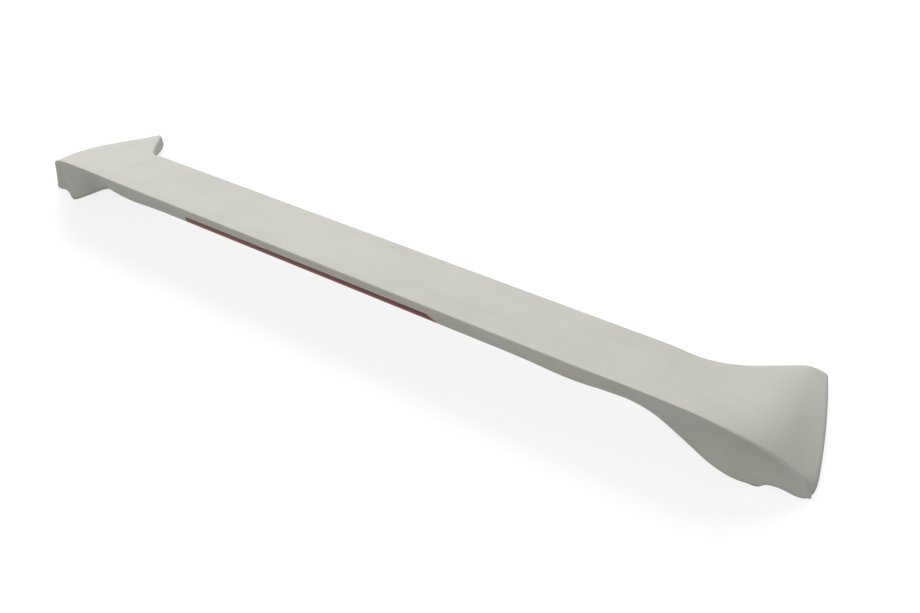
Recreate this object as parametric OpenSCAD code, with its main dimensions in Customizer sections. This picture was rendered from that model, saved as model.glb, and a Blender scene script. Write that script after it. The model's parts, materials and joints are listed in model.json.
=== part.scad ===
// Trunk spoiler: a raised blade between two feet, with a brake lamp under its rear lip.
// X runs along the blade, Y towards the front of the car, Z up from the plane the feet stand on.

/* [Overall shape] */
// Length between the outer rear corners of the feet
span = 1192; // [1130:2:1260]
// Length between the outer front corners of the arms
arm_span = 1102; // [1080:2:1120]
// Depth from the rear lip to the tips of the arms
depth = 218; // [206:1:236]
// Height of the rear crease of the blade
rear_h = 106; // [94:1:120]
// Height of the front edge of the blade
front_h = 67; // [58:1:74]
// Depth of the blade from its rear crease to its front edge
chord = 116; // [104:1:130]

/* [Blade and lip] */
// Height of the rear face of the lip
lip_h = 12.5; // [11:0.5:15]
// How much taller the lip gets towards the feet
lip_grow = 3; // [0:0.5:4]
// Thickness of the lip
lip_t = 5.5; // [4:0.5:7]
// How far the top rises into the rear crease
kick = 2.5; // [0:0.5:5]
// Height of the lower band under the lip
band_h = 9; // [8:0.5:10]
// How far the band sits back from the lip
band_in = 0.6; // [0.2:0.1:1.2]
// Height of the front edge
edge_t = 10; // [8:0.5:12]
// Radius of the rear crease and of the front edge
crease_r = 2.5; // [1.5:0.5:3.5]

/* [Feet] */
// Distance over which the rear crease falls to the outer corner
fall_l = 149; // [136:1:164]
// Distance over which the lower rear edge falls, out to the outer corner
flank_l = 246; // [226:2:266]
// Width of each standing face at the rear
foot_w = 66; // [60:1:76]
// Distance over which the front edge turns into the arm, out to the arm's corner
arm_l = 156; // [146:1:171]
// Width of each arm where it meets the floor
arm_w = 7; // [5:0.5:12]
// How far the outer rear corner sweeps forward of the lip
sweep = 50; // [42:1:58]
// Height of the outer rear corner
corner_h = 9.5; // [9:0.5:12]
// Height of the tip of each arm
tip_h = 8.5; // [8:0.5:10.5]
// How far the outer rear corner is rounded off
corner_in = 4; // [1:0.5:6]
// Fullness of the outer slope
swell_h = 20; // [8:1:24]
// How far the outer edge of each foot bows outwards
bow = 2.5; // [0:0.5:5]
// Height of the scallop in the rear edge of each standing face
scallop_h = 6.5; // [2:0.5:8]
// How far the foot's rear face leans forward under the crease
lean = 20.5; // [14:0.5:23]
// Depth of the hollow in the foot's rear face
hollow = 8; // [0:1:9]

/* [Shells] */
// Wall of both shells
wall = 3; // [2.4:0.1:3.6]
// Gap of the glued joint between the shells
bond = 0.3; // [0.2:0.05:0.5]
// Height of the lower shell's rim below the upper shell
rim = 2.6; // [2:0.1:3.2]
// Height of the tongue behind the lip
tongue_h = 4; // [3:0.5:5]

/* [Brake lamp] */
// Length of the lens
lens_l = 400; // [360:2:440]
// How far the middle of the lens lies to the right of the middle of the blade
lens_x = -28; // [-40:2:40]
// How far the lens sits back from the band
lens_in = 0.6; // [0.2:0.1:1.2]
// How far the upper edge of the lens stops short of its lower edge at the right end
lens_slant = 16; // [4:1:30]
// Depth of the lens
lens_d = 9; // [7:0.5:9.5]
// Wall of the lens
lens_wall = 2; // [1.5:0.1:2.3]
// Clearance around the lamp
lamp_gap = 0.3; // [0.2:0.05:0.5]
// Depth of the lamp housing
housing_d = 12; // [10.5:0.5:12.5]
// Wall of the lamp housing
housing_wall = 1.6; // [1.2:0.1:2]
// Thickness of the seal between lens and housing
seal_t = 1; // [0.6:0.1:1.5]
// Number of lamps on the board
led_count = 24; // [12:3:30]
// Thickness of the circuit board
board_t = 1.2; // [0.8:0.1:1.6]

/* [Fixings] */
// Distance of the joint between lower shell and foot base from the standing face
joint_in = 50; // [42:1:56]
// Distance of the rear inserts from the outer rear corner, across the foot
insert_rear_in = 28; // [25:1:32]
// Distance of the front inserts from the middle of the foot's outer edge
insert_front_in = 16.5; // [16:0.5:19]
// Depth position of the rear inserts
insert_rear_y = -41; // [-46:1:-34]
// Depth position of the front inserts
insert_front_y = 34; // [28:1:38]
// Nominal thread of the inserts
thread_d = 6; // [5:1:6]
// Outer diameter of the inserts
insert_d = 9; // [8:0.5:10]
// Length of the inserts
insert_l = 12; // [10:0.5:14]
// Diameter of the bosses that hold the inserts
boss_d = 16; // [14:0.5:18]
// Clearance round the inserts and the screws
fix_gap = 0.1; // [0.05:0.05:0.2]
// Diameter of the lamp screws
screw_d = 3.5; // [3:0.1:4]
// Length of the lamp screws under the head
screw_l = 8; // [6.5:0.5:8.5]
// Diameter of the heads of the lamp screws
head_d = 7; // [6:0.5:8]
// Length of the lugs at the ends of the lamp housing
lug_l = 12; // [10:0.5:14]
// Height of the lugs of the lamp housing
lug_h = 8; // [6.5:0.5:9]

/* [Feet pads and lead hole] */
// Thickness of the foam pads let into the standing faces
pad_t = 1.2; // [0.8:0.1:1.4]
// Width of the foam pads
pad_w = 5; // [3:0.5:6]
// Clearance round the foam pads
pad_gap = 0.3; // [0.2:0.05:0.5]
// Hole in the grommet for the lamp's lead
lead_d = 5; // [4:0.5:6]
// Diameter of the grommet's neck
neck_d = 9; // [8:0.5:10]
// Diameter of the grommet's flange
flange_d = 13; // [12:0.5:14]

/* [Hidden] */

// Round shapes
$fn = 48;
eps = 0.01;

// Principal places, derived
half = span / 2;
arm_half = arm_span / 2;
fall_x = half - fall_l;
flank_x = half - flank_l;
foot_x = half - foot_w;
arm_x = arm_half - arm_l;
joint_x = foot_x - joint_in;
rear_y = -depth / 2;
tip_y = depth / 2;
front_y = rear_y + chord;
foot_z = rim + bond;
lip_z = rear_h - lip_h;

// Stations along half of the length: few in the straight blade, close in the feet
BLADE = [0, 0.25, 0.5, 0.75, 0.875];
FOOT_STEPS = 26;
STATIONS = concat(
    [for (b = BLADE) b * flank_x],
    [for (i = [0:FOOT_STEPS]) let (t = i / FOOT_STEPS)
        flank_x + (half - wall - flank_x) * (1.25 * t - 0.25 * t * t)]);

// Rises from 0 to 1: a parabola up to the share a, then straight
function ramp(t, a) = let (u = max(0, min(1, t)), m = 1 / (1 - a / 2))
    u < a ? m * u * u / (2 * a) : m * (u - a / 2);
// Rises from 0 to 1 with a parabola of the share a at each end
function ease(t, a) = let (u = max(0, min(1, t)), n = 1 - a)
    u < a ? u * u / (2 * a * n)
    : u > 1 - a ? 1 - (1 - u) * (1 - u) / (2 * a * n)
    : (u - a / 2) / n;
function lerp(a, b, t) = a + (b - a) * t;

// Rear crease over the half length x
CREASE_BEND = 0.8;
SWEEP_BEND = 0.6;
function crease_t(x) = ramp((x - fall_x) / (half - fall_x), CREASE_BEND);
function crease_y(x) = rear_y + sweep * ramp((x - fall_x) / (half - fall_x), SWEEP_BEND);
function crease_z(x) = rear_h - (rear_h - corner_h) * crease_t(x);

// Front edge over the half length x, out to the arm's outer corner
ARM_BEND = 0.72;
ARM_DROP = 0.15;
TIP_ROUND = 26;
TIP_LIFT = 12.3;
TIP_DIP = 3;
function arm_share(x) = (x - arm_x) / (arm_half - TIP_ROUND - arm_x);
function tip_t(x) = max(0, min(1, (x - arm_half + TIP_ROUND) / TIP_ROUND));
function front_edge_y(x) =
    lerp(front_y, tip_y - TIP_LIFT, ramp(arm_share(x), ARM_BEND))
    + TIP_LIFT * (1 - pow(1 - tip_t(x), 2));
function front_edge_z(x) = front_h - (front_h - tip_h)
    * ramp((x - arm_x) / (arm_half - arm_x), ARM_DROP) - TIP_DIP * pow(tip_t(x), 1.3);

// Lower edge of the upper shell's rear face over the half length x
FLANK_END = foot_x + 36;
FLANK_BEND = 0.25;
function flank_t(x) = ease((x - flank_x) / (FLANK_END - flank_x), FLANK_BEND);
SCALLOP_FROM = foot_x + 12;
SCALLOP_RISE = 10;
SCALLOP_L = 34;
function scallop(x) = scallop_h * ease((x - SCALLOP_FROM) / SCALLOP_RISE, 0.5)
    * (1 - ease((x - SCALLOP_FROM - SCALLOP_RISE) / SCALLOP_L, 0.3));
GROW_FROM = 0.75 * flank_x;
function lip_low(x) = lip_z - lip_grow * ease((x - GROW_FROM) / (flank_x - GROW_FROM), 0.5);
function lower_z(x) = lerp(lip_low(x), foot_z, flank_t(x)) + scallop(x);
LEAN_IN = 90;
LEAN_OUT = 0.68;
HEEL = 11.5;
HEEL_FROM = foot_x + 15;
function lean_t(x) = ease((x - flank_x) / LEAN_IN, 0.5)
    * (1 - LEAN_OUT * ease((x - flank_x - LEAN_IN) / (foot_x - flank_x - LEAN_IN), 0.5));
function lower_y(x) = crease_y(x) + lean * lean_t(x)
    - HEEL * ease((x - HEEL_FROM) / (half - HEEL_FROM), 0.5);

// Band under the lip: it narrows to the rim at the feet and moves out under the wall
BAND_FADE = 80;
function band_t(x) = ease((x - flank_x + BAND_FADE / 4) / BAND_FADE, 0.5);
function lip_at(x) = lerp(lip_t, wall, band_t(x));
function band_at(x) = lerp(band_h, rim, band_t(x));

// Half length of the point at share v of the way from the rear crease to the front edge
function front_x(x) = x < arm_x ? x : lerp(arm_x, arm_half, (x - arm_x) / (half - arm_x));
CORNER_L = 14;
CORNER_V = 0.08;
function corner_t(x, v) = ease((x - half + CORNER_L) / CORNER_L, 0.5)
    * pow(max(0, 1 - max(0, v) / CORNER_V), 2);
function at_x(x, v) = lerp(x, front_x(x), v) - corner_in * corner_t(x, v)
    + bow * 4 * v * (1 - v) * ease((x - foot_x) / (half - foot_x), 0.5);

// Top surface: share v from the rear crease (0) to the front edge (1)
KICK_PEAK = 1.717;
function kick_t(v) = KICK_PEAK * (1 - v) * (1 - pow(1 - v, 5));
function full_t(v) = 1.12 * (1 - pow(v, 2.2)) * (1 - pow(1 - v, 5));
function slope_t(x) = ease((x - fall_x) / (half - fall_x), 0.5)
    * (1 - 0.55 * ease((x - half + 60) / 60, 0.5));
function top_y(x, v) = lerp(crease_y(x), front_edge_y(front_x(x)), v);
function top_z(x, v) = lerp(crease_z(x), front_edge_z(front_x(x)), v)
    - kick * kick_t(v) * (1 - crease_t(x)) + swell_h * slope_t(x) * full_t(v);

// Underside at share v, on the standing face beyond foot_x
UNDER_BEND = 0.3;
SEAT_IN = 16;
function under_rear_z(x) = max(0, lower_z(x) - scallop(x) - bond - band_at(x))
    * (1 - ease((x - foot_x) / SEAT_IN, 0.5));
function under_front_z(x) = (front_h - edge_t)
    * (1 - ease((x - arm_x) / (arm_l - arm_w), UNDER_BEND));
SCALLOP_END = 0.25;
function under_z(x, v) = let (px = at_x(x, v))
    lerp(under_rear_z(px), under_front_z(px), max(0, v))
    + scallop(x) * pow(max(0, 1 - v / SCALLOP_END), 2);

// Rear face of the upper shell at share w of the way down from the crease
HOLLOW_IN = 70;
function hollow_t(x) = ease((x - fall_x + 10) / HOLLOW_IN, 0.5)
    * (1 - ease((x - half + HOLLOW_IN) / HOLLOW_IN, 0.5));
function face_y(x, w) = lerp(crease_y(x), lower_y(x), w) + hollow * hollow_t(x) * 4 * w * (1 - w);
function face_z(x, w) = lerp(crease_z(x), lower_z(x), w);

// A point of a station: its own y and z, and the x that the slanted station has there
function station_v(x, y) = (y - crease_y(x)) / (front_edge_y(front_x(x)) - crease_y(x));
function place(x, side, y, z) = [side * at_x(x, station_v(x, y)), y, z];

// Lower boundary and inner surface of the upper shell
STEEP = 0.45;
function wall_z(x) = wall * (1 + STEEP * slope_t(x));
function base_z(x, v) = under_z(x, v) + foot_z;
function ceiling_z(x, v) = max(base_z(x, v), top_z(x, v) - wall_z(x));

TOP_STEPS = 11;
FACE_STEPS = 5;
SEAT_STEPS = 7;

// Section of the upper shell: outside from the front edge over the top to the lower rear edge,
// then the inside back to the front edge, point by point. The end wall is closed and stands on
// the floor.
function upper_section(x, closed) =
    let (
        yf = front_edge_y(front_x(x)),
        ya = crease_y(x),
        run = yf - ya,
        vr = crease_r / run,
        zt = top_z(x, 1),
        zf = closed ? under_z(x, 1) : base_z(x, 1),
        r = min(crease_r, (zt - zf) / 2),
        drop = crease_z(x) - lower_z(x),
        low = closed ? 0 : lower_z(x),
        ws = min(0.45, crease_r / drop),
        outside = concat(
            [[yf, zf], [yf, zt - r], [yf - 0.293 * r, zt - 0.293 * r]],
            [for (i = [TOP_STEPS:-1:0]) let (v = vr + (1 - 2 * vr) * i / TOP_STEPS)
                [top_y(x, v), top_z(x, v)]],
            [[ya + 0.293 * crease_r, lerp(top_z(x, vr), face_z(x, ws), 0.4)]],
            [for (i = [0:FACE_STEPS]) let (w = lerp(ws, 1, i / (FACE_STEPS + 1)))
                [face_y(x, w), face_z(x, w)]],
            [[face_y(x, 1), low]]),
        n = len(outside),
        v_front = 1 - wall / run,
        v_rear = station_v(x, face_y(x, ws) + lip_at(x)),
        w_top = (crease_z(x) - ceiling_z(x, v_rear)) / drop,
        inside = closed
            ? [for (k = [0:n - 1])
                k < 2 ? [yf - wall * (k + 1) / 3, 0]
                : k <= TOP_STEPS + 3
                    ? [top_y(x, lerp(v_front, v_rear, (k - 2) / (TOP_STEPS + 1))), 0]
                : let (w = (k - TOP_STEPS - 3) / (n - TOP_STEPS - 3))
                    [lerp(top_y(x, v_rear), face_y(x, 1), w), 0]]
            : [for (k = [0:n - 1])
                k < 2 ? [yf - wall, lerp(base_z(x, v_front), ceiling_z(x, v_front), k / 2)]
                : k <= TOP_STEPS + 3
                    ? let (v = lerp(v_front, v_rear, (k - 2) / (TOP_STEPS + 1)))
                        [top_y(x, v), ceiling_z(x, v)]
                : let (w = lerp(w_top, 1, (k - TOP_STEPS - 3) / (n - TOP_STEPS - 4)))
                    [face_y(x, w) + lip_at(x), face_z(x, w)]])
    [outside, inside];

// Section of the lower shell: the band behind the lip, the underside out to the front edge,
// then the inside back to the band
function lap_at(x) = lerp(tongue_h, 0.5 * tongue_h, band_t(x));
function step_at(x) = lerp(band_in, 0, band_t(x));
function lower_section(x) =
    let (
        yf = front_edge_y(front_x(x)),
        zd = lower_z(x) - bond,
        zl = lower_z(x) + lap_at(x),
        wl = (crease_z(x) - zl) / (crease_z(x) - lower_z(x)),
        yl = face_y(x, wl) + lip_at(x) + bond,
        yd = face_y(x, 1) + lip_at(x) + bond,
        yr = face_y(x, 1) + step_at(x),
        vr = station_v(x, yr),
        vp = station_v(x, yd + wall + 1),
        outside = concat(
            [[yl, zl], [yd, zd], [yr, zd], [yr, under_z(x, vr)]],
            [for (i = [1:SEAT_STEPS]) let (v = lerp(vr, 1, i / SEAT_STEPS))
                [top_y(x, v), under_z(x, v)]]),
        inside = concat(
            [[yl + wall, zl], [lerp(yl, yd, 0.5) + wall, lerp(zl, zd, 0.5)]],
            [[yd + wall, under_z(x, station_v(x, yd + wall)) + rim]],
            [for (i = [0:SEAT_STEPS]) let (v = lerp(vp, 1, i / SEAT_STEPS))
                [top_y(x, v), under_z(x, v) + rim]]))
    [outside, inside];

// Solid between the sections of a row of stations; each section is [outside, inside]
module loft(sections) {
    n = len(sections[0][0]);
    m = len(sections);
    points = [for (s = sections) for (k = [0:2 * n - 1]) k < n ? s[0][k] : s[1][2 * n - 1 - k]];
    sides = [for (i = [0:m - 2]) for (k = [0:2 * n - 1])
        let (a = i * 2 * n + k, b = i * 2 * n + (k + 1) % (2 * n))
            for (f = [[a, b + 2 * n, b], [a, a + 2 * n, b + 2 * n]]) f];
    first = [for (k = [0:n - 2]) let (a = k, b = 2 * n - 1 - k)
        for (f = [[a, a + 1, b], [a + 1, b - 1, b]]) f];
    last = [for (k = [0:n - 2]) let (c = (m - 1) * 2 * n, a = c + k, b = c + 2 * n - 1 - k)
        for (f = [[a, b, a + 1], [a + 1, b, b - 1]]) f];
    polyhedron(points, concat(sides, first, last), convexity = 6);
}

function placed(x, section) = let (side = x < 0 ? -1 : 1, h = abs(x))
    [for (path = section) [for (p = path) place(h, side, p[0], p[1])]];

// Both ends of a row of stations, mirrored about the middle
function both(row) = concat([for (i = [len(row) - 1:-1:1]) -row[i]], row);

END_STEP = 0.2;
module upper_shell() {
    closed_x = half - wall + END_STEP;
    row = both(concat(STATIONS, [closed_x, half]));
    color("gainsboro")
        loft([for (x = row) placed(x, upper_section(abs(x), abs(x) >= closed_x))]);
}

// Lamp: places behind the lip, from the rear forwards
BOARD_STAND = 2;
plate_tilt = atan2(under_front_z(0) - under_rear_z(0), chord);
lens_y = rear_y + step_at(0) + lens_in;
seal_y = lens_y + lens_d;
housing_y = seal_y + seal_t;
housing_end = housing_y + housing_d;
board_y = housing_end - housing_wall - BOARD_STAND - board_t;
lens_low = under_rear_z(0);
lens_top = lip_z - bond - lamp_gap;
box_l = lens_l - lens_slant;
box_x = lens_x - lens_slant / 2;
screw_x = box_l / 2 + lug_l / 2;
screw_y = housing_y + housing_d / 2;
function floor_z(y) = under_z(0, station_v(0, y)) + rim;
function roof_z(y) = min(lens_top, ceiling_z(0, station_v(0, y)) - lamp_gap);

// A part standing square on the sloping underside plate at x and y
module on_plate(x, y) {
    translate([x, y, floor_z(y) - rim]) rotate([plate_tilt, 0, 0]) children();
}

// Places of the threaded inserts in the feet
insert_rear_x = half - insert_rear_in;
insert_front_x = (half + arm_half) / 2 - insert_front_in;
INSERTS = [for (side = [-1, 1])
    for (p = [[insert_rear_x, insert_rear_y], [insert_front_x, insert_front_y]])
        [side * p[0], p[1]]];
insert_z = pad_t;
boss_h = insert_z + insert_l + 2;

// Place of the hole for the lamp's lead, in the left foot
grommet_x = -(insert_rear_x + insert_front_x) / 2 - 1;
grommet_y = (insert_rear_y + insert_front_y) / 2;

// Line of the foam pad in a foot: a strip along the outer edge of the standing face
PAD_INSET = 7;
PAD_FROM = 0.16;
PAD_TO = 0.5;
PAD_STEPS = 8;
function edge_point(v, inset) = let (h = half - wall - bond)
    [at_x(h, v) - inset, top_y(h, v)];
module pad_outline(grow) {
    vs = [for (i = [0:PAD_STEPS]) lerp(PAD_FROM, PAD_TO, i / PAD_STEPS)];
    offset(delta = grow)
        polygon(concat(
            [for (v = vs) edge_point(v, PAD_INSET - pad_w)],
            [for (i = [PAD_STEPS:-1:0]) edge_point(vs[i], PAD_INSET)]));
}

// Whole underside: the lower shell between the joints, a foot base beyond each of them
END_GAP = 0.9;
module underside() {
    row = both([for (x = STATIONS) min(x, half - wall - END_GAP)]);
    loft([for (x = row) placed(x, lower_section(abs(x)))]);
}

// Outline of the lens seen from the rear, grown by a clearance and drawn down to a depth
module lens_outline(grow, down) {
    polygon([
        [-lens_l / 2 - grow, lens_low - down],
        [lens_l / 2 + grow, lens_low - down],
        [lens_l / 2 + grow, lens_low + lens_wall],
        [lens_l / 2 - lens_slant + grow, lens_top + grow],
        [-lens_l / 2 - grow, lens_top + grow]]);
}
module along_y(from, to) {
    translate([lens_x, to, 0]) rotate([90, 0, 0]) linear_extrude(height = to - from) children();
}

module lower_shell() {
    color("silver")
        difference() {
            intersection() {
                underside();
                translate([-joint_x + bond, rear_y - lean, 0])
                    cube([2 * (joint_x - bond), 2 * depth, rear_h]);
            }
            along_y(rear_y - 1, lens_y + lens_d + lamp_gap) lens_outline(lamp_gap + eps, band_h);
            for (side = [-1, 1]) on_plate(box_x + side * screw_x, screw_y) translate([0, 0, -1])
                cylinder(d = screw_d + 4 * fix_gap, h = rim + 3);
        }
}

// Base of one foot: plate, bosses for two inserts and a recess for the foam pad
module foot_base(side) {
    color("silver")
        difference() {
            union() {
                intersection() {
                    underside();
                    translate([side < 0 ? -half : joint_x, rear_y - lean, 0])
                        cube([half - joint_x, 2 * depth, rear_h]);
                }
                for (p = INSERTS) if (p[0] * side > 0) translate([p[0], p[1], rim / 2])
                    cylinder(d = boss_d, h = boss_h - rim / 2);
            }
            for (p = INSERTS) if (p[0] * side > 0) translate([p[0], p[1], -1])
                cylinder(d = insert_d + 2 * fix_gap, h = 1 + insert_z + insert_l + fix_gap);
            if (side < 0)
                translate([grommet_x, grommet_y, -1]) cylinder(d = neck_d + 2 * fix_gap, h = rim + 3);
            mirror([side < 0 ? 1 : 0, 0, 0]) translate([0, 0, -1])
                linear_extrude(height = 1 + pad_t) pad_outline(pad_gap);
        }
}
module foot_base_left() {
    foot_base(-1);
}
module foot_base_right() {
    foot_base(1);
}

// Red lens: a tray open to the front
module lens() {
    color("firebrick")
        difference() {
            along_y(lens_y, seal_y) lens_outline(0, 0);
            along_y(lens_y + lens_wall, seal_y + 1)
                intersection() {
                    offset(delta = -lens_wall) lens_outline(0, 0);
                    translate([-lens_l, lens_low]) square([2 * lens_l, lens_top - lens_low]);
                }
        }
}

// Soft frame between the rims of the lens and of the housing
module lens_seal() {
    low = floor_z(housing_y) + bond;
    color("dimgray")
        difference() {
            translate([box_x - box_l / 2, seal_y, low]) cube([box_l, seal_t, lens_top - low]);
            translate([box_x - box_l / 2 + lens_wall, seal_y - 1, low + housing_wall])
                cube([box_l - 2 * lens_wall, seal_t + 2, lens_top - low - 2 * housing_wall]);
        }
}

// Housing: a tray open to the rear that stands on the plate, with a lug at each end
module housing_outline(inset) {
    mouth = housing_y - (inset > 0 ? 1 : 0);
    back = housing_end - inset;
    polygon([
        [mouth, floor_z(housing_y) + bond + inset],
        [back, floor_z(back) + bond + inset],
        [back, roof_z(housing_end) - inset],
        [mouth, roof_z(housing_y) - inset]]);
}
module along_x(length) {
    translate([box_x - length / 2, 0, 0]) rotate([90, 0, 90])
        linear_extrude(height = length) children();
}
module lamp_housing() {
    lug_top = floor_z(housing_y) + lug_h;
    color("black")
        difference() {
            union() {
                along_x(box_l) housing_outline(0);
                intersection() {
                    along_x(box_l + 2 * lug_l) housing_outline(0);
                    translate([-half, rear_y, 0]) cube([span, depth, lug_top]);
                }
            }
            along_x(box_l - 2 * lens_wall) housing_outline(housing_wall);
            for (side = [-1, 1]) on_plate(box_x + side * screw_x, screw_y)
                cylinder(d = screw_d + 2 * fix_gap, h = screw_l + 1);
        }
}

// Board standing across the housing, with the lamps in a row on its rear face
board_low = floor_z(board_y) + bond + housing_wall + lamp_gap;
board_top = roof_z(housing_end) - housing_wall - lamp_gap;
led_z = (board_low + board_top) / 2;
LED_END = 14;
led_pitch = (box_l - 2 * LED_END) / (led_count - 1);
module circuit_board() {
    length = box_l - 2 * lens_wall - 2 * lamp_gap;
    color("darkgreen")
        translate([box_x - length / 2, board_y, board_low])
            cube([length, board_t, board_top - board_low]);
}

LED_W = 3.5;
LED_H = 2.8;
LED_T = 1.9;
module leds() {
    color("mistyrose")
        for (i = [0:led_count - 1])
            translate([box_x + (i - (led_count - 1) / 2) * led_pitch, board_y - LED_T, led_z])
                rotate([-90, 0, 0]) {
                    translate([-LED_W / 2, -LED_H / 2, LED_T / 2]) cube([LED_W, LED_H, LED_T / 2]);
                    cylinder(d1 = LED_H * 0.7, d2 = LED_H * 0.95, h = LED_T / 2 + eps, $fn = 24);
                }
}

// One resistor for each three lamps, half a pitch beside the middle one
RES_L = 3.2;
RES_W = 1.6;
RES_T = 0.6;
module resistors() {
    color("dimgray")
        for (i = [0:led_count / 3 - 1])
            translate([box_x + (3 * i + 1.5 - (led_count - 1) / 2) * led_pitch - RES_L / 2,
                board_y - RES_T, led_z - RES_W / 2])
                cube([RES_L, RES_T, RES_W]);
}

// Screws from below, each through the plate into a lug of the housing
HEAD_H = 2;
module lamp_screws() {
    color("lightgray")
        for (side = [-1, 1]) on_plate(box_x + side * screw_x, screw_y) {
            cylinder(d = screw_d, h = screw_l);
            translate([0, 0, -HEAD_H])
                difference() {
                    cylinder(d = head_d, h = HEAD_H);
                    translate([-head_d / 3, -0.4, -1]) cube([head_d / 1.5, 0.8, 1 + HEAD_H / 2]);
                    translate([-0.4, -head_d / 3, -1]) cube([0.8, head_d / 1.5, 1 + HEAD_H / 2]);
                }
        }
}

module threaded_inserts() {
    color("goldenrod")
        for (p = INSERTS) translate([p[0], p[1], insert_z])
            difference() {
                union() {
                    cylinder(d = insert_d, h = insert_l * 0.4);
                    cylinder(d = insert_d - 1, h = insert_l);
                    translate([0, 0, insert_l * 0.6]) cylinder(d = insert_d, h = insert_l * 0.4);
                }
                translate([0, 0, -1]) cylinder(d = thread_d, h = insert_l + 2);
            }
}

module foot_pads() {
    color("darkslategray")
        for (side = [0, 1]) mirror([side, 0, 0])
            linear_extrude(height = pad_t) pad_outline(0);
}

// Rubber grommet, open for the lamp's lead
module cable_grommet() {
    color("black")
        translate([grommet_x, grommet_y, 0])
            difference() {
                union() {
                    translate([0, 0, bond]) cylinder(d = neck_d, h = rim);
                    translate([0, 0, rim + bond]) cylinder(d = flange_d, h = 1.5);
                    translate([0, 0, rim + bond + 1.5])
                        cylinder(d1 = flange_d - 3, d2 = lead_d + 2, h = 3);
                }
                translate([0, 0, -1]) cylinder(d = lead_d, h = rim + 8);
            }
}

upper_shell();
lower_shell();
foot_base_left();
foot_base_right();
lens();
lens_seal();
lamp_housing();
circuit_board();
leds();
resistors();
lamp_screws();
threaded_inserts();
foot_pads();
cable_grommet();
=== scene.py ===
"""Looks of a trunk spoiler: primed shells, brake lamp, fixings and a plain studio."""

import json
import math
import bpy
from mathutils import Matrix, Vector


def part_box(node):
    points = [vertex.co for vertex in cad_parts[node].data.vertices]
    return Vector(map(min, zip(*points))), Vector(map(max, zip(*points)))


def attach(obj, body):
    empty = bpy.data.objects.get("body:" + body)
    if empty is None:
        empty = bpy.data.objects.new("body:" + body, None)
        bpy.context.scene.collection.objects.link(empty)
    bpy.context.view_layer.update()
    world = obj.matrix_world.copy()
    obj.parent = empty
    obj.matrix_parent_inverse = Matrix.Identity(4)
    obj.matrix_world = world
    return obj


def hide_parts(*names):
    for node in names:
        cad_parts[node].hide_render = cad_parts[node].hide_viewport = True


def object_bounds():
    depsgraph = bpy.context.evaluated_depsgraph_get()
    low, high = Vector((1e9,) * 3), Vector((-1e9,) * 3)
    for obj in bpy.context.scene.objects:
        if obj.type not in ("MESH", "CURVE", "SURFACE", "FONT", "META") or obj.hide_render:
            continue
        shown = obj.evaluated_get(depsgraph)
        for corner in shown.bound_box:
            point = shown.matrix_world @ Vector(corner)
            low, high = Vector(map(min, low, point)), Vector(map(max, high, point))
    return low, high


bl_info = {
    "name": "Trunk Spoiler Looks",
    "version": (1, 0, 0),
    "blender": (4, 5, 0),
    "location": "View3D > Sidebar > Spoiler",
    "description": "Primed spoiler shells, brake lamp, fixings and studio",
    "category": "Object",
}

import bpy
import numpy as np
from mathutils import Matrix

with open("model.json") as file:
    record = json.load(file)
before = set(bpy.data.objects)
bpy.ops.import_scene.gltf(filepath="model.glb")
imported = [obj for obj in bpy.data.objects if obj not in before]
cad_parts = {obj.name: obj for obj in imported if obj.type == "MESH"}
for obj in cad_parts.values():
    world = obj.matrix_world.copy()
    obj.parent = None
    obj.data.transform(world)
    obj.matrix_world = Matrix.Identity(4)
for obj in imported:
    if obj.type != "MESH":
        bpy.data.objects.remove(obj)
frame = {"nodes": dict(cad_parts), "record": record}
CAD_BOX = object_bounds()

MM = 0.001
LENS_LOW, LENS_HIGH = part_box("lens")
IMAGE_W = 920


def size(name, description, millimetres):
    """A length property with its default in millimetres."""
    return bpy.props.FloatProperty(name=name, description=description, default=millimetres * MM,
                                   unit="LENGTH", subtype="DISTANCE", precision=5)


def colour(name, description, rgb):
    """A colour property."""
    return bpy.props.FloatVectorProperty(name=name, description=description, default=rgb,
                                         subtype="COLOR", size=3, min=0.0, max=1.0)


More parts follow.
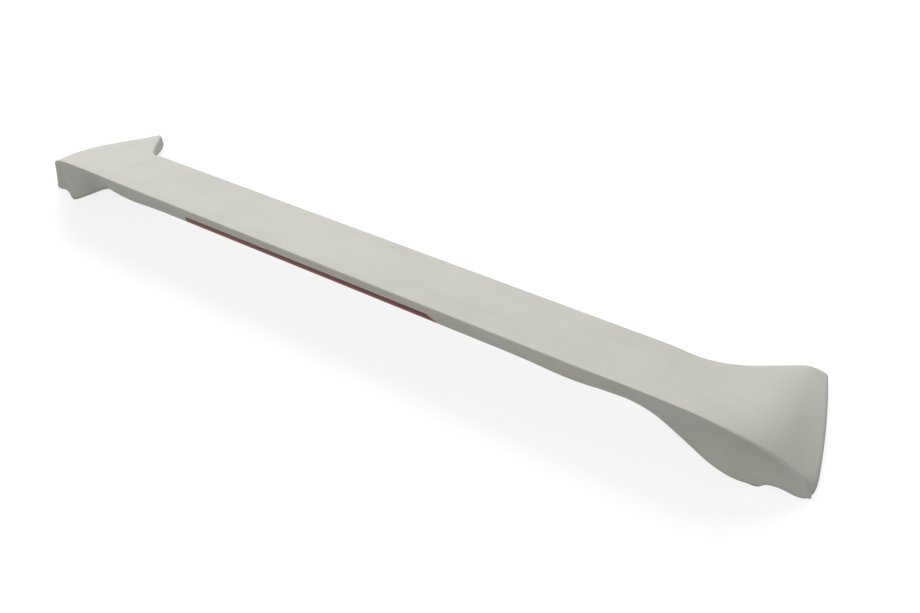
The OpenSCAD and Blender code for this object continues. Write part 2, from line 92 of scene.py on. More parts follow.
class SpoilerShape(bpy.types.PropertyGroup):
    """Driving sizes of both shells."""
    half: size("Half length", "Half length out to the rear corner before its rounding", 596)
    arm_half: size("Half arm span", "Half length between the arms' outer corners", 551)
    rear_h: size("Rear height", "Height of the rear crease", 106)
    front_h: size("Front height", "Height of the blade's front edge", 67)
    depth: size("Depth", "Depth from the lip to the tips of the arms", 218)
    chord: size("Chord", "Depth of the blade", 116)
    lip_h: size("Lip height", "Height of the lip's rear face", 12.5)
    lip_grow: size("Lip growth", "How much taller the lip gets towards the feet", 3)
    lip_t: size("Lip thickness", "Thickness of the lip", 5.5)
    kick: size("Kick", "Rise of the top into the rear crease", 2.5)
    band_h: size("Band height", "Height of the band under the lip", 9)
    band_in: size("Band step", "How far the band sits back from the lip", 0.6)
    edge_t: size("Edge height", "Height of the blade's front edge face", 10)
    fall_x: size("Fall start", "Half distance at which the crease starts to fall", 447)
    flank_x: size("Flank start", "Half distance at which the lower rear edge starts to fall", 350)
    foot_x: size("Foot start", "Half distance of the standing face's inner edge", 530)
    arm_x: size("Arm start", "Half distance at which the front edge turns into the arm", 395)
    arm_w: size("Arm width", "Width of each arm where it meets the floor", 7)
    joint_x: size("Joint", "Half distance of the joint between lower shell and foot base", 480)
    sweep: size("Sweep", "How far the rear corner sweeps forward", 50)
    corner_h: size("Corner height", "Height of the outer rear corner", 9.5)
    corner_in: size("Corner rounding", "How far the outer rear corner is rounded off", 4)
    tip_h: size("Tip height", "Height of the tip of each arm", 8.5)
    swell_h: size("Swell", "Fullness of the outer slope", 20)
    bow: size("Bow", "How far the outer edge bows outwards", 2.5)
    scallop_h: size("Scallop", "Height of the scallop in the standing face's rear edge", 6.5)
    lean: size("Lean", "How far the foot's rear face leans forward", 20.5)
    hollow: size("Hollow", "Depth of the hollow in the foot's rear face", 8)
    wall: size("Wall", "Wall of both shells", 3)
    bond: size("Joint gap", "Gap of the glued joint", 0.3)
    rim: size("Rim", "Height of the lower shell's rim", 2.6)
    tongue_h: size("Tongue", "Height of the tongue behind the lip", 4)
    crease_r: size("Crease radius", "Rounding of the rear crease", 4)
    crease_soft: size("Foot crease radius", "Rounding of the crease at the feet", 6)
    front_r: size("Front radius", "Rounding of the front edge", 3.5)
    outer_r: size("Outer radius", "Rounding of the feet's outer edge", 4)


class SpoilerFinish(bpy.types.PropertyGroup):
    """Colours of the finishes."""
    primer: colour("Primer", "Grey-white primer", (0.62, 0.62, 0.565))
    primer_dust: colour("Primer dust", "Duller patches of the primer", (0.57, 0.57, 0.515))
    scuff: colour("Scuff", "Rubbed marks on the primer", (0.50, 0.48, 0.42))
    lens: colour("Lens", "Red of the lens", (0.34, 0.07, 0.065))
    # Painted shadow: the lens' red darkened where the lip's shadow falls on it
    lens_painted_lip_shadow: colour("Lens shade", "Red of the lens under the lip", (0.10, 0.008, 0.008))
    # Painted reflection: a milky pale red that stands for the white floor mirrored in the lens'
    # lower edge
    lens_painted_floor_reflection: colour("Lens edge", "Milky red along the lens' lower edge", (0.55, 0.25, 0.24))
    housing: colour("Housing", "Black of the housing", (0.02, 0.02, 0.022))


def lerp(a, b, t):
    """a at t = 0 and b at t = 1, in a straight line."""
    return a + (b - a) * t


def ramp(t, a):
    """Rises from 0 to 1: a parabola up to the share a, then straight."""
    u = np.clip(t, 0.0, 1.0)
    m = 1.0 / (1.0 - a / 2.0)
    return np.where(u < a, m * u * u / (2 * a), m * (u - a / 2))


def ease(t, a):
    """Rises from 0 to 1 with a parabola of the share a at each end."""
    u = np.clip(t, 0.0, 1.0)
    n = 1.0 - a
    return np.where(u < a, u * u / (2 * a * n),
                    np.where(u > 1 - a, 1 - (1 - u) ** 2 / (2 * a * n), (u - a / 2) / n))


# Fixed shares and lengths in mm that shape the curves of both shells
CREASE_BEND, SWEEP_BEND = 0.8, 0.6
ARM_BEND, ARM_DROP = 0.72, 0.15
TIP_ROUND, TIP_LIFT, TIP_DIP = 26, 12.3, 3
SCALLOP_IN, SCALLOP_RISE, SCALLOP_L, SCALLOP_END = 12, 10, 34, 0.25
FLANK_RUN, FLANK_BEND, GROW_FROM = 36, 0.25, 0.75
LEAN_IN, LEAN_OUT, HEEL, HEEL_IN = 90, 0.68, 11.5, 15
BAND_FADE = 80
CORNER_L, CORNER_V = 14, 0.08
SLOPE_L, SLOPE_OUT, STEEP = 60, 0.55, 0.45
KICK_PEAK, FULL_PEAK, FULL_FALL, SOFT_RISE = 1.717, 1.12, 2.2, 5
SEAT_IN, UNDER_BEND = 16, 0.3
HOLLOW_IN, HOLLOW_LEAD = 70, 10
END_IN, END_STEP, END_GAP = 0.7, 0.2, 0.9


class Form:
    """The spoiler's surfaces as functions of the half length x and of shares v and w, in mm.

    v runs over the top from the rear crease (0) to the front edge (1), and w down the rear face
    from the crease (0) to the lower edge (1)."""

    def __init__(self, s):
        for name in SpoilerShape.__annotations__:
            setattr(self, name, getattr(s, name) / MM)
        self.rear_y = -self.depth / 2
        self.tip_y = self.depth / 2
        self.front_y = self.rear_y + self.chord
        self.foot_z = self.rim + self.bond
        self.lip_z = self.rear_h - self.lip_h
        self.end_x = self.half - self.wall - END_IN

    def crease_t(self, x):
        """Fall of the rear crease: a parabola over most of its way, then straight."""
        return ramp((x - self.fall_x) / (self.half - self.fall_x), CREASE_BEND)

    def crease_y(self, x):
        share = (x - self.fall_x) / (self.half - self.fall_x)
        return self.rear_y + self.sweep * ramp(share, SWEEP_BEND)

    def crease_z(self, x):
        return self.rear_h - (self.rear_h - self.corner_h) * self.crease_t(x)

    def tip_t(self, x):
        return np.clip((x - self.arm_half + TIP_ROUND) / TIP_ROUND, 0, 1)

    def front_edge_y(self, x):
        """Front edge in plan: level, a parabola, straight, and rounded over the tip."""
        share = (x - self.arm_x) / (self.arm_half - TIP_ROUND - self.arm_x)
        return (lerp(self.front_y, self.tip_y - TIP_LIFT, ramp(share, ARM_BEND))
                + TIP_LIFT * (1 - (1 - self.tip_t(x)) ** 2))

    def front_edge_z(self, x):
        share = (x - self.arm_x) / (self.arm_half - self.arm_x)
        return (self.front_h - (self.front_h - self.tip_h) * ramp(share, ARM_DROP)
                - TIP_DIP * self.tip_t(x) ** 1.3)

    def scallop(self, x):
        """Rises steeply in the rear edge of the standing face, then dies out slowly."""
        start = self.foot_x + SCALLOP_IN
        return (self.scallop_h * ease((x - start) / SCALLOP_RISE, 0.5)
                * (1 - ease((x - start - SCALLOP_RISE) / SCALLOP_L, 0.3)))

    def lower_z(self, x):
        """Lower edge of the rear face: level under the lip, then down an S to the foot."""
        start = GROW_FROM * self.flank_x
        grow = ease((x - start) / (self.flank_x - start), 0.5)
        t = ease((x - self.flank_x) / (self.foot_x + FLANK_RUN - self.flank_x), FLANK_BEND)
        return lerp(self.lip_z - self.lip_grow * grow, self.foot_z, t) + self.scallop(x)

    def lean_t(self, x):
        full = self.flank_x + LEAN_IN
        return ease((x - self.flank_x) / LEAN_IN, 0.5) * (
            1 - LEAN_OUT * ease((x - full) / (self.foot_x - full), 0.5))

    def lower_y(self, x):
        """Lower edge in plan: forward of the crease along the flank, behind it at the heel."""
        start = self.foot_x + HEEL_IN
        heel = ease((x - start) / (self.half - start), 0.5)
        return self.crease_y(x) + self.lean * self.lean_t(x) - HEEL * heel

    def band_t(self, x):
        return ease((x - self.flank_x + BAND_FADE / 4) / BAND_FADE, 0.5)

    def lip_at(self, x):
        return lerp(self.lip_t, self.wall, self.band_t(x))

    def band_at(self, x):
        return lerp(self.band_h, self.rim, self.band_t(x))

    def front_x(self, x):
        share = (x - self.arm_x) / (self.half - self.arm_x)
        return np.where(x < self.arm_x, x, lerp(self.arm_x, self.arm_half, share))

    def at_x(self, x, v):
        """Half length of a station's point: straight from rear to front, bowed outwards, with the
        rear corner rounded off over CORNER_L of x and the share CORNER_V of the way."""
        corner = (ease((x - self.half + CORNER_L) / CORNER_L, 0.5)
                  * np.clip(1 - v / CORNER_V, 0, 1) ** 2)
        return (lerp(x, self.front_x(x), v) - self.corner_in * corner + self.bow * 4 * v * (1 - v)
                * ease((x - self.foot_x) / (self.half - self.foot_x), 0.5))

    def top_y(self, x, v):
        return lerp(self.crease_y(x), self.front_edge_y(self.front_x(x)), v)

    def slope_t(self, x):
        return ease((x - self.fall_x) / (self.half - self.fall_x), 0.5) * (
            1 - SLOPE_OUT * ease((x - self.half + SLOPE_L) / SLOPE_L, 0.5))

    def top_z(self, x, v):
        """Ruling between crease and front edge, plus the kick into the crease and the swell."""
        rise = 1 - (1 - v) ** SOFT_RISE
        kick_t = KICK_PEAK * (1 - v) * rise
        full_t = FULL_PEAK * (1 - np.maximum(0, v) ** FULL_FALL) * rise
        return (lerp(self.crease_z(x), self.front_edge_z(self.front_x(x)), v)
                - self.kick * kick_t * (1 - self.crease_t(x))
                + self.swell_h * self.slope_t(x) * full_t)

    def under_z(self, x, v):
        """Underside: a ruling down to the standing faces, with the scallop at its rear edge."""
        px = self.at_x(x, v)
        rear = (np.maximum(0, self.lower_z(px) - self.scallop(px) - self.bond - self.band_at(px))
                * (1 - ease((px - self.foot_x) / SEAT_IN, 0.5)))
        front = (self.front_h - self.edge_t) * (
            1 - ease((px - self.arm_x) / (self.arm_half - self.arm_x - self.arm_w), UNDER_BEND))
        return (lerp(rear, front, np.maximum(0, v))
                + self.scallop(x) * np.clip(1 - v / SCALLOP_END, 0, 1) ** 2)

    def face_y(self, x, w):
        """The rear face: a ruling from crease to lower edge, hollowed by a parabola over w."""
        hollow_t = (ease((x - self.fall_x + HOLLOW_LEAD) / HOLLOW_IN, 0.5)
                    * (1 - ease((x - self.half + HOLLOW_IN) / HOLLOW_IN, 0.5)))
        return (lerp(self.crease_y(x), self.lower_y(x), w)
                + self.hollow * hollow_t * 4 * w * (1 - w))

    def face_z(self, x, w):
        return lerp(self.crease_z(x), self.lower_z(x), w)

    def station_v(self, x, y):
        return (y - self.crease_y(x)) / (self.front_edge_y(self.front_x(x)) - self.crease_y(x))

    def ceiling_z(self, x, v):
        return np.maximum(self.under_z(x, v) + self.foot_z,
                          self.top_z(x, v) - self.wall * (1 + STEEP * self.slope_t(x)))


def bezier(a, b, c, t):
    """Quadratic curve from a to c that starts and ends towards b."""
    return (1 - t) ** 2 * a + 2 * t * (1 - t) * b + t ** 2 * c


def stations(f, outer):
    """Half lengths of the sections: wide apart in the straight blade, close in the feet."""
    blade = np.linspace(0, f.flank_x, 24)[:-1]
    foot = np.linspace(f.flank_x, f.end_x, 120)
    if not outer:
        return np.concatenate((blade, foot))
    tail = f.half - f.outer_r + f.outer_r * np.sin(np.linspace(0.3, math.pi / 2, 9))
    return np.concatenate((blade, foot, [f.end_x + END_STEP], tail[tail > f.end_x + END_STEP]))


FRONT_N, ROUND_N, TOP_N, FACE_N = 5, 8, 44, 22


def upper_section(f, x):
    """Outside and inside of the upper shell at stations x (a column): y and z arrays.

    Outside: up the front face, round the front edge, over the top, round the crease and down the
    rear face. Inside: the same way at the wall's distance. Beyond the wall the inside closes on
    the floor."""
    closed = x > f.end_x + END_STEP / 2
    yf = f.front_edge_y(f.front_x(x))
    ya = f.crease_y(x)
    run = yf - ya
    zt = f.top_z(x, 1.0)
    zf = f.under_z(x, 1.0) + np.where(closed, 0, f.foot_z)
    rf = np.minimum(f.front_r, (zt - zf) * 0.6)
    rc = lerp(f.crease_r, f.crease_soft, f.crease_t(x))
    drop = f.crease_z(x) - f.lower_z(x)
    vc = rc / run
    vf = 1 - rf / run
    wc = np.minimum(0.5, rc / drop)
    t_front = np.linspace(0, 1, FRONT_N)[None, :-1]
    t_round = np.linspace(0, 1, ROUND_N)[None, :]
    t_top = np.linspace(0, 1, TOP_N)[None, 1:-1]
    t_face = np.linspace(0, 1, FACE_N)[None, 1:]
    low = np.where(closed, 0, f.lower_z(x))
    v = lerp(vf, vc, t_top)
    w = lerp(wc, 1, t_face)
    face_z = np.maximum(lerp(f.face_z(x, wc), low, t_face), 0)
    y = np.concatenate((
        yf + 0 * t_front,
        bezier(yf, yf, f.top_y(x, vf), t_round),
        f.top_y(x, v),
        bezier(f.top_y(x, vc), ya, f.face_y(x, wc), t_round),
        f.face_y(x, w)), axis=1)
    z = np.concatenate((
        lerp(zf, zt - rf, t_front),
        bezier(zt - rf, zt, f.top_z(x, vf), t_round),
        f.top_z(x, v),
        bezier(f.top_z(x, vc), f.crease_z(x), f.face_z(x, wc), t_round),
        face_z), axis=1)
    # The outer edge turns down in a quarter circle
    u = np.clip((x - f.half + f.outer_r) / f.outer_r, 0, 1)
    roll = f.outer_r * (1 - np.sqrt(1 - u * u))
    z = z - roll * np.clip(z / f.outer_r, 0, 1)
    n = y.shape[1]
    v_front = 1 - f.wall / run
    v_rear = f.station_v(x, f.face_y(x, wc) + f.lip_at(x))
    w_top = (f.crease_z(x) - f.ceiling_z(x, v_rear)) / drop
    n_face = FACE_N - 1
    n_top = n - n_face - 2
    t_in = np.linspace(0, 1, n_top)[None, :]
    t_wall = np.linspace(0, 1, n_face + 1)[None, 1:]
    v_in = lerp(v_front, v_rear, t_in)
    w_in = lerp(w_top, 1, t_wall)
    base = f.under_z(x, v_front) + f.foot_z
    up = np.array([[0.0, 0.5]])
    y_in = np.concatenate((yf - f.wall + 0 * up, f.top_y(x, v_in),
                           f.face_y(x, w_in) + f.lip_at(x)), axis=1)
    z_in = np.concatenate((lerp(base, f.ceiling_z(x, v_front), up), f.ceiling_z(x, v_in),
                           f.face_z(x, w_in)), axis=1)
    down = lerp(f.top_y(x, v_rear), f.face_y(x, 1.0), t_wall * n_face / (n_face + 1))
    shut = np.concatenate((yf - f.wall * (up * 2 + 1) / 3, f.top_y(x, v_in), down), axis=1)
    y_in = np.where(closed, shut, y_in)
    z_in = np.where(closed, 0, z_in)
    return y, z, y_in, z_in


def lower_section(f, x):
    """Outside and inside of the lower shell at stations x: the tongue behind the lip, the band,
    the underside out to the front edge, and back at the rim's height."""
    seat = 40
    lap = lerp(f.tongue_h, f.tongue_h / 2, f.band_t(x))
    step = lerp(f.band_in, 0, f.band_t(x))
    zd = f.lower_z(x) - f.bond
    zl = f.lower_z(x) + lap
    wl = (f.crease_z(x) - zl) / (f.crease_z(x) - f.lower_z(x))
    yl = f.face_y(x, wl) + f.lip_at(x) + f.bond
    yd = f.face_y(x, 1.0) + f.lip_at(x) + f.bond
    yr = f.face_y(x, 1.0) + step
    vr = f.station_v(x, yr)
    r = np.minimum(2.0, (zd - f.under_z(x, vr)) * 0.35)
    v1 = f.station_v(x, yr + r)
    zr = f.under_z(x, vr)
    t_edge = np.linspace(0, 1, 5)[None, :]
    t_seat = np.linspace(0, 1, seat)[None, 1:]
    v = lerp(v1, 1, t_seat)
    y = np.concatenate((yl, yd, bezier(yr + r, yr, yr, t_edge), bezier(yr, yr, yr + r, t_edge),
                        f.top_y(x, v)), axis=1)
    z = np.concatenate((zl, zd, bezier(zd, zd, zd - r, t_edge),
                        bezier(zr + r, zr, f.under_z(x, v1), t_edge), f.under_z(x, v)), axis=1)
    n = y.shape[1]
    vp = f.station_v(x, yd + f.wall + 1)
    t_in = np.linspace(0, 1, n - 3)[None, :]
    v_in = lerp(vp, 1, t_in)
    y_in = np.concatenate((yl + f.wall, lerp(yl, yd, 0.5) + f.wall, yd + f.wall,
                           f.top_y(x, v_in)), axis=1)
    z_in = np.concatenate((zl, lerp(zl, zd, 0.5),
                           f.under_z(x, f.station_v(x, yd + f.wall)) + f.rim,
                           f.under_z(x, v_in) + f.rim), axis=1)
    return y, z, y_in, z_in


def loft(f, section, half_row):
    """Points and quads of a closed solid through sections at -x ... 0 ... x.

    Each section is a ring, outside forwards and inside backwards. Neighbouring rings are joined
    by quads, and each end is closed by a strip of quads between its outside and inside."""
    row = np.concatenate((-half_row[:0:-1], half_row))
    x = np.abs(row)[:, None]
    y, z, y_in, z_in = section(f, x)
    ring_y = np.concatenate((y, y_in[:, ::-1]), axis=1)
    ring_z = np.concatenate((z, z_in[:, ::-1]), axis=1)
    reach = np.minimum(f.at_x(x, f.station_v(x, ring_y)), CAD_BOX[1][0] / MM)
    ring_x = np.sign(row)[:, None] * reach
    points = np.stack((ring_x, ring_y, ring_z), axis=-1).reshape(-1, 3) * MM
    m, k = ring_y.shape
    i, j = np.meshgrid(np.arange(m - 1), np.arange(k), indexing="ij")
    a = i * k + j
    b = i * k + (j + 1) % k
    sides = np.stack((a, a + k, b + k, b), axis=-1).reshape(-1, 4)
    c = np.arange(k // 2 - 1)
    cap = np.stack((c, c + 1, k - 2 - c, k - 1 - c), axis=-1)
    faces = np.concatenate((sides, cap, (cap + (m - 1) * k)[:, ::-1]))
    p, q, r, s = (points[faces[:, c]] for c in range(4))
    if np.sum(p * (np.cross(q, r) + np.cross(r, s))) < 0:
        faces = faces[:, ::-1]
    return points, faces


def make_piece(name, points, faces, sharp=35.0):
    """A mesh object from whole arrays, smooth apart from edges sharper than the angle given."""
    mesh = bpy.data.meshes.new(name)
    mesh.from_pydata(points, [], faces)
    mesh.validate()
    mesh.shade_smooth()
    mesh.set_sharp_from_angle(angle=math.radians(sharp))
    piece = bpy.data.objects.new(name, mesh)
    bpy.context.scene.collection.objects.link(piece)
    return piece


def box_faces(low, high):
    """Eight corners and six outward faces of a box."""
    p = np.array([[(low, high)[i >> a & 1][a] for a in range(3)] for i in range(8)])
    return p, [(0, 2, 3, 1), (4, 5, 7, 6), (0, 1, 5, 4), (2, 6, 7, 3), (0, 4, 6, 2), (1, 3, 7, 5)]


def cylinder_faces(centre, radius, low, high, sides=48):
    """Points and faces of an upright cylinder, its corners turned off the axes."""
    a = (np.arange(sides) + 0.37) * 2 * math.pi / sides
    ring = np.stack((centre[0] + radius * np.cos(a), centre[1] + radius * np.sin(a)), axis=-1)
    p = np.concatenate([np.column_stack((ring, np.full(sides, h))) for h in (low, high)])
    k = np.arange(sides)
    n = (k + 1) % sides
    faces = [tuple(q) for q in np.stack((k, n, n + sides, k + sides), axis=-1)]
    return p, faces + [tuple(range(sides - 1, -1, -1)), tuple(range(sides, 2 * sides))]


def prism_faces(ring, axis, low, high):
    """Points and faces of a prism: a ring of (a, b) places drawn out along an axis."""
    ring = np.asarray(ring, float)
    n = len(ring)
    p = np.concatenate([np.insert(ring, axis, h, axis=1) for h in (low, high)])
    k = np.arange(n)
    m = (k + 1) % n
    faces = [tuple(q) for q in np.stack((k, m, m + n, k + n), axis=-1)]
    faces += [tuple(range(n - 1, -1, -1)), tuple(range(n, 2 * n))]
    turn = np.sum(ring[:, 0] * np.roll(ring[:, 1], -1) - ring[:, 1] * np.roll(ring[:, 0], -1))
    if (turn < 0) != (axis == 1):
        faces = [q[::-1] for q in faces]
    return p, faces


# Sizes of the lamp, the pads and the fixings
LENS_SLANT, LENS_WALL, LENS_GAP = 16 * MM, 2 * MM, 0.31 * MM
PAD_T, PAD_NEAR, PAD_FAR, PAD_FROM, PAD_TO, PAD_N = 1.2 * MM, 2, 7, 0.16, 0.5, 24
BOSS_R, BOSS_LOW, BOSS_TOP = 8 * MM, 2.5 * MM, 15.2 * MM
HOLE_R, HOLE_TOP, LEAD_TOP = 4.6 * MM, 13.3 * MM, 10 * MM
SHANK_HOLE_R, HEAD_R = 2.4 * MM, 3.5 * MM
BELOW = -10 * MM


def lens_ring(grow, down):
    """Outline of the lens in x and z: square at the left end, slanted at the right end."""
    (x0, _, z0), (x1, _, z1) = LENS_LOW, LENS_HIGH
    return [(x0 - grow, z0 - down), (x1 + grow, z0 - down), (x1 + grow, z0 + LENS_WALL),
            (x1 - LENS_SLANT + grow, z1 + grow), (x0 - grow, z1 + grow)]


def pad_ring(f, side, grow):
    """Outline of a foot's pad: a strip along the outer edge over a share of the way, grown."""
    h = f.half - f.wall - f.bond
    v = np.linspace(PAD_FROM, PAD_TO, PAD_N)
    out, back = f.at_x(h, v), f.top_y(h, v)
    rows = np.concatenate((np.column_stack((out - PAD_NEAR + grow, back)),
                           np.column_stack((out - PAD_FAR - grow, back))[::-1]))
    ends = np.zeros(2 * PAD_N)
    ends[[0, -1]], ends[[PAD_N - 1, PAD_N]] = -grow, grow
    return np.column_stack((side * rows[:, 0], rows[:, 1] + ends)) * MM


def cut(piece, solids):
    """Takes closed solids that don't touch, each (points, faces), away from a piece."""
    first = np.cumsum([0] + [len(points) for points, _ in solids])
    cutter = make_piece("cutter", np.concatenate([points for points, _ in solids]),
                        [[int(i + start) for i in face]
                         for (_, faces), start in zip(solids, first) for face in faces])
    change = piece.modifiers.new("cut", "BOOLEAN")
    change.operation = "DIFFERENCE"
    change.solver = "EXACT"
    change.object = cutter
    graph = bpy.context.evaluated_depsgraph_get()
    mesh = bpy.data.meshes.new_from_object(piece.evaluated_get(graph))
    piece.modifiers.clear()
    piece.data = mesh
    bpy.data.objects.remove(cutter)
    mesh.shade_smooth()
    mesh.set_sharp_from_angle(angle=math.radians(35))


class Wire:
    """A socket, or a plain number, that adds Math nodes when it is used in an expression."""

    def __init__(self, tree, socket):
        self.tree = tree
        self.socket = socket

    def math(self, operation, *values):
        return self.tree.node("ShaderNodeMath", {"operation": operation},
                              {i: v for i, v in enumerate(values)})

    def __add__(self, other):
        return self.math("ADD", self, other)

    __radd__ = __add__

    def __mul__(self, other):
        return self.math("MULTIPLY", self, other)

    __rmul__ = __mul__

    def __sub__(self, other):
        return self.math("SUBTRACT", self, other)

    def __rsub__(self, other):
        return self.math("SUBTRACT", other, self)

    def clamp(self, low, high):
        """0 at low and below, 1 at high and above, smooth between them."""
        return self.tree.node("ShaderNodeMapRange", {"interpolation_type": "SMOOTHSTEP"},
                              {"Value": self, "From Min": low, "From Max": high}, "Result")


class Tree:
    """The node tree of a new material, or of the world, with one method that adds any node."""

    def __init__(self, name, world=None):
        self.material = world or bpy.data.materials.new(name)
        self.material.use_nodes = True
        self.nodes = self.material.node_tree.nodes
        self.links = self.material.node_tree.links
        self.shader = self.nodes["Background" if world else "Principled BSDF"]

    def put(self, socket, value):
        if isinstance(value, Wire):
            self.links.new(value.socket, socket)
        else:
            socket.default_value = value

    def node(self, kind, settings=None, values=None, output=0):
        """Adds a node: its settings first, then the values or links of its sockets."""
        made = self.nodes.new(kind)
        for key, value in (settings or {}).items():
            setattr(made, key, value)
        for key, value in (values or {}).items():
            self.put(made.inputs[key], value)
        return Wire(self, made.outputs[output])

    def place(self):
        return self.node("ShaderNodeTexCoord", output="Object")

    def seen(self):
        """1 where the camera, a reflection or clear plastic looks at the ground, otherwise 0."""
        path = self.node("ShaderNodeLightPath", output="Is Camera Ray")
        rays = [Wire(self, path.socket.node.outputs[name])
                for name in ("Is Camera Ray", "Is Glossy Ray", "Is Transmission Ray")]
        return rays[0].math("MAXIMUM", rays[0], rays[1].math("MAXIMUM", rays[1], rays[2]))

    def noise(self, where, scale, detail=3.0, rough=0.5):
        return self.node("ShaderNodeTexNoise", {}, {"Vector": where, "Scale": scale,
                                                    "Detail": detail, "Roughness": rough}, 0)

    def mix(self, factor, a, b):
        """Colour a where the factor is 0 and b where it is 1."""
        made = self.nodes.new("ShaderNodeMix")
        made.data_type = "RGBA"
        self.put(made.inputs[0], factor)
        self.put(made.inputs[6], a)
        self.put(made.inputs[7], b)
        return Wire(self, made.outputs[2])

    def stretched(self, scale):
        return self.node("ShaderNodeMapping", {}, {"Vector": self.place(), "Scale": scale})

    def bump(self, height, strength, distance):
        return self.node("ShaderNodeBump", {}, {"Height": height, "Strength": strength,
                                                "Distance": distance}, "Normal")

    def surface(self, **values):
        """Sets sockets of the shader by their names, with underscores for spaces."""
        for key, value in values.items():
            self.put(self.shader.inputs[key.replace("_", " ")], value)
        return self.material


def rgba(c):
    return (c[0], c[1], c[2], 1.0)


def primer_material(c, name, shade=1.0):
    """Satin primer: cloudy patches, faint streaks along the blade, rubbed marks, fine grain. A
    shade below 1 makes a darker copy, painted shade for the pieces underneath.
    """
    t = Tree(name)
    clouds = t.noise(t.place(), 9.0, 4.0).clamp(0.35, 0.7)
    streaks = t.noise(t.stretched((1.2, 22.0, 22.0)), 3.0, 3.0).clamp(0.45, 0.75)
    rubs = t.noise(t.stretched((26.0, 40.0, 40.0)), 1.4, 5.0, 0.62).clamp(0.66, 0.74)
    # Painted shade: a shade below 1 darkens the primer colours of the copies used underneath
    body = [v * shade for v in c.primer]
    dust = [v * shade for v in c.primer_dust]
    base = t.mix(clouds * 0.5 + streaks * 0.35, rgba(body), rgba(dust))
    base = t.mix(rubs * 0.35, base, rgba(c.scuff))
    grain = t.noise(t.place(), 900.0, 2.0)
    waves = t.noise(t.place(), 60.0, 2.0)
    return t.surface(Base_Color=base, Roughness=0.5 + 0.1 * clouds,
                     Normal=t.bump(grain * 0.3 + waves, 0.12, 0.0004),
                     Specular_IOR_Level=0.2)


def moulded_material(name, rgb, rough=0.55, grain=700.0, strength=0.15, **values):
    """Moulded plastic or rubber: slight change of tone and a fine grain."""
    t = Tree(name)
    tone = t.noise(t.place(), 40.0, 3.0)
    base = t.mix(tone, rgba([v * 0.8 for v in rgb]), rgba([min(1, v * 1.2) for v in rgb]))
    return t.surface(Base_Color=base, Roughness=rough,
                     Normal=t.bump(t.noise(t.place(), grain), strength, 0.0003), **values)


def metal_material(name, rgb, rough):
    """Turned or plated metal with fine brushed marks."""
    t = Tree(name)
    marks = t.noise(t.stretched((900.0, 900.0, 60.0)), 1.0, 2.0)
    return t.surface(Base_Color=t.mix(marks, rgba([v * 0.85 for v in rgb]), rgba(rgb)),
                     Metallic=1.0, Roughness=rough + 0.12 * marks,
                     Normal=t.bump(marks, 0.1, 0.0002))


def lens_material(c):
    """Red acrylic with painted light: near black at the top with a painted shadow of the lip,
    redder and milkier down to its lower edge with a painted reflection of the white floor.
    """
    t = Tree("red_acrylic")
    height = t.node("ShaderNodeSeparateXYZ", {}, {"Vector": t.place()}, "Z")
    low, high = LENS_LOW[2], LENS_HIGH[2]
    tone = t.noise(t.stretched((60.0, 20.0, 20.0)), 1.0, 2.0)
    # Painted shadow of the lip: from the bottom up to three quarters of its height the lens fades
    # into the near black shade colour
    base = t.mix(height.clamp(low, lerp(low, high, 0.75)), rgba(c.lens), rgba(c.lens_painted_lip_shadow))
    # Painted reflection of the floor: the lowest 30% of the lens fades into milky pale red
    base = t.mix(height.clamp(lerp(low, high, 0.3), low), base, rgba(c.lens_painted_floor_reflection))
    base = t.mix(tone * 0.3, base, rgba([v * 0.8 for v in c.lens]))
    return t.surface(Base_Color=base, Roughness=0.25, Specular_IOR_Level=0.3,
                     Normal=t.bump(t.noise(t.place(), 160.0), 0.06, 0.0003))


def dress(node, material):
    """Gives a node of the frame its material."""
    o = frame["nodes"][node]
    o.data.materials.clear()
    o.data.materials.append(material)


def finish_piece(piece, material, slot, *nodes):
    piece.data.materials.clear()
    piece.data.materials.append(material)
    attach(piece, "root")
    if nodes:
        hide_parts(*nodes)


class SPOILER_OT_upper_shell(bpy.types.Operator):
    """Makes the smooth upper shell"""
    bl_idname = "spoiler.upper_shell"
    bl_label = "Upper Shell"

    def execute(self, context):
        f = Form(context.scene.spoiler_shape)
        piece = make_piece("upper_skin", *loft(f, upper_section, stations(f, True)))
        finish_piece(piece, primer_material(context.scene.spoiler_finish, "primer"),
                     "primer_top", "upper_shell")
        return {"FINISHED"}


def underside(name, solids):
    """The whole underside with closed solids taken away."""
    f = Form(bpy.context.scene.spoiler_shape)
    row = np.minimum(stations(f, False), f.half - f.wall - END_GAP)
    row = row[np.concatenate(([True], np.diff(row) > 0.01))]
    piece = make_piece(name, *loft(f, lower_section, row))
    cut(piece, solids)
    return piece


class SPOILER_OT_lower_shell(bpy.types.Operator):
    """Makes the smooth lower shell with its opening for the lens"""
    bl_idname = "spoiler.lower_shell"
    bl_label = "Lower Shell"

    def execute(self, context):
        f = Form(context.scene.spoiler_shape)
        end = (f.joint_x - f.bond) * MM
        beyond = [box_faces((min(s * end, s), -1, -1), (max(s * end, s), 1, 1)) for s in (-1, 1)]
        lens = prism_faces(lens_ring(LENS_GAP, f.band_h * MM), 1,
                           CAD_BOX[0][1] - MM, LENS_HIGH[1] + f.bond * MM)
        low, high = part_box("lamp_screws")
        screws = [cylinder_faces((x, (low[1] + high[1]) / 2), SHANK_HOLE_R, low[2], high[2])
                  for x in (low[0] + HEAD_R, high[0] - HEAD_R)]
        piece = underside("lower_skin", beyond + [lens] + screws)
        # Painted shade: the lower shell gets a copy of the primer 3% darker than the upper shell
        finish_piece(piece, primer_material(context.scene.spoiler_finish, "primer_below_painted_shade", 0.97),
                     "primer_under", "lower_shell")
        return {"FINISHED"}


